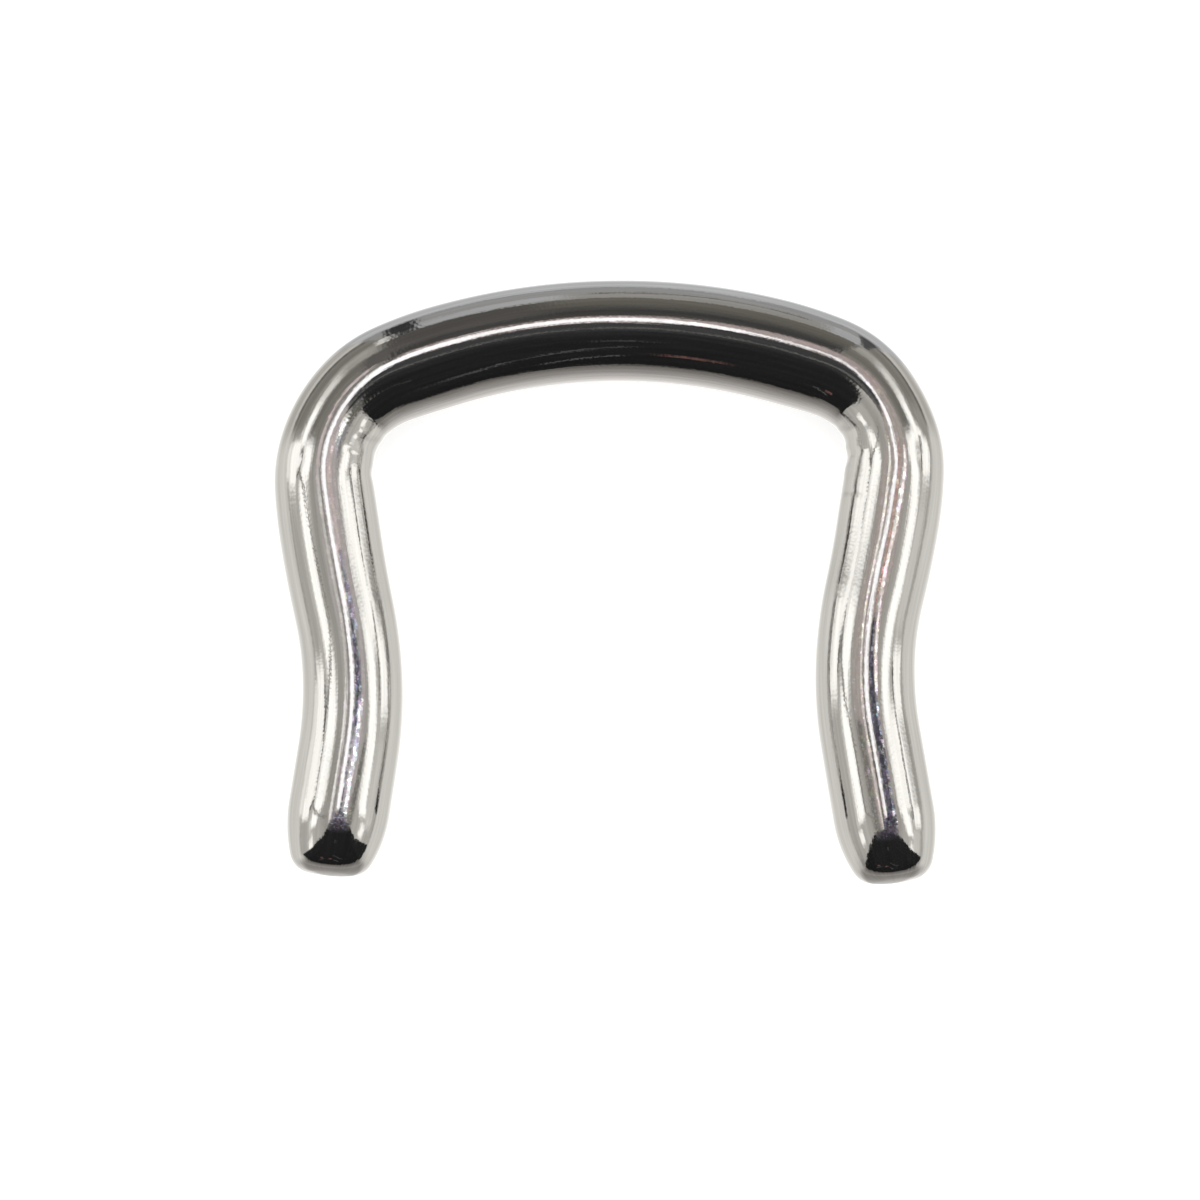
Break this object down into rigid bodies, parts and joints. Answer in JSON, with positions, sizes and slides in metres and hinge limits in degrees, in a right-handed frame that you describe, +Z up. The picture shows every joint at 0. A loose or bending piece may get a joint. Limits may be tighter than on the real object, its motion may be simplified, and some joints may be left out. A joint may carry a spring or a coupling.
{
  "type": "septum retainer",
  "caption": "Polished steel bar bent into a wide, flat-topped horseshoe, with legs that pinch in and flare out to blunt rounded ends.",
  "frame": {"origin": "middle of the part's bounding box, on the surface it lies on", "axes": "+X to the right along the crown, +Y from the tips to the crown, +Z up out of the plane that the bar is bent in"},
  "size_m": [0.0136, 0.0124, 0.0021],
  "materials": {
    "polished_steel": "mirror-polished surgical steel with fine hairline scratches"
  },
  "bodies": {
    "root": {"retainer_bar": "polished_steel"}
  },
  "joints": []
}
